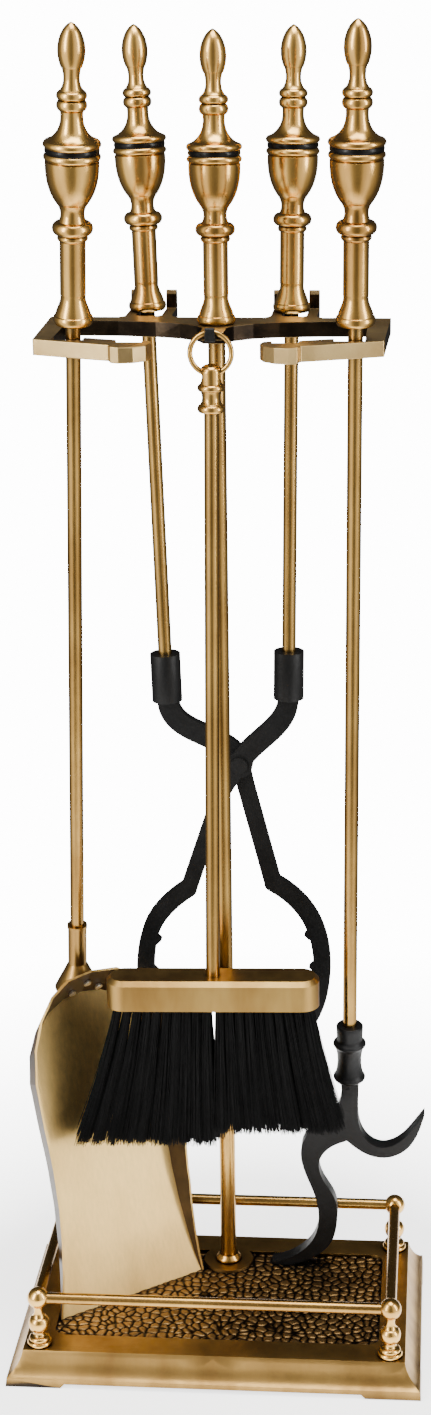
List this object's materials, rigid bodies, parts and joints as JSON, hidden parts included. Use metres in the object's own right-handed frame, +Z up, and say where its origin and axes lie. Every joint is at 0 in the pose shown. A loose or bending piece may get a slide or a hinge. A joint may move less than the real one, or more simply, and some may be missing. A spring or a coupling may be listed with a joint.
{
  "type": "fireplace tool set",
  "caption": "Antique brass fireplace tool set: a railed tray stand whose pole and yoke hold a shovel, a poker, scissor tongs and a hearth brush hung on a ring.",
  "frame": {"origin": "on the floor, under the middle of the whole set's bounding box", "axes": "+Z up, +X to the right seen from the front, front of the stand towards -Y"},
  "size_m": [0.24, 0.1757, 0.7594],
  "materials": {
    "antique_brass": "satin cast brass, dark patina in the grooves",
    "satin_brass": "satin, lightly brushed",
    "tray_brass": "cast brass, cobbled tray floor, dark patina in the hollows",
    "shovel_plate": "brushed plate, darker on the inside of its rim",
    "black_band": "gloss black",
    "black_iron": "matte black, faintly pitted",
    "zinc_steel": "zinc plated",
    "bright_steel": "bright rivet heads",
    "hardwood": "plain beech",
    "bristle": "stiff black fibre"
  },
  "bodies": {
    "stand": {"base_casting": "tray_brass", "pole": "satin_brass", "pole_collar": "antique_brass", "pole_washer": "zinc_steel", "pole_nut": "zinc_steel", "post_front_left": "antique_brass", "post_front_right": "antique_brass", "post_back_left": "antique_brass", "post_back_right": "antique_brass", "post_screws": "zinc_steel", "front_rail": "antique_brass", "back_rail": "antique_brass", "left_rail": "antique_brass", "right_rail": "antique_brass", "yoke": "satin_brass", "brush_hook": "black_iron", "stand_grip": "antique_brass", "stand_urn": "antique_brass", "stand_band": "black_band", "stand_cap": "antique_brass"},
    "shovel": {"shovel_pan": "shovel_plate", "shovel_socket": "satin_brass", "shovel_rivets": "bright_steel", "shovel_rod": "satin_brass", "shovel_grip": "antique_brass", "shovel_urn": "antique_brass", "shovel_band": "black_band", "shovel_cap": "antique_brass"},
    "poker": {"poker_iron": "black_iron", "poker_rod": "satin_brass", "poker_grip": "antique_brass", "poker_urn": "antique_brass", "poker_band": "black_band", "poker_cap": "antique_brass"},
    "tongs_right": {"tongs_right_jaw": "black_iron", "tongs_right_rod": "satin_brass", "tongs_pin": "black_iron", "tongs_right_grip": "antique_brass", "tongs_right_urn": "antique_brass", "tongs_right_band": "black_band", "tongs_right_cap": "antique_brass"},
    "tongs_left": {"tongs_left_jaw": "black_iron", "tongs_left_rod": "satin_brass", "tongs_left_grip": "antique_brass", "tongs_left_urn": "antique_brass", "tongs_left_band": "black_band", "tongs_left_cap": "antique_brass"},
    "ring": {"brush_ring": "antique_brass"},
    "brush": {"brush_finial": "antique_brass", "brush_rod": "satin_brass", "brush_cover": "satin_brass", "brush_block": "hardwood", "brush_bristles_left": "bristle", "brush_bristles_right": "bristle"}
  },
  "joints": [
    {"name": "shovel_lift", "type": "slide", "parent": "stand", "child": "shovel", "axis": [0, 0.3201, 0.9474], "range_m": [0, 0.03]},
    {"name": "poker_lift", "type": "slide", "parent": "stand", "child": "poker", "axis": [0, 0, 1], "range_m": [0, 0.06]},
    {"name": "tongs_lift", "type": "slide", "parent": "stand", "child": "tongs_right", "axis": [0, 0, 1], "range_m": [0, 0.06]},
    {"name": "tongs_open", "type": "hinge", "parent": "tongs_right", "child": "tongs_left", "pos_m": [0.0065, 0.0724, 0.329], "axis": [0, 1, 0], "range_deg": [0, 0.7]},
    {"name": "ring_swing", "type": "hinge", "parent": "stand", "child": "ring", "pos_m": [0, -0.0076, 0.5983], "axis": [-1, 0, 0], "range_deg": [0, 45]},
    {"name": "brush_swing", "type": "hinge", "parent": "ring", "child": "brush", "pos_m": [0, -0.0076, 0.5761], "axis": [-1, 0, 0], "range_deg": [0, 40]}
  ]
}
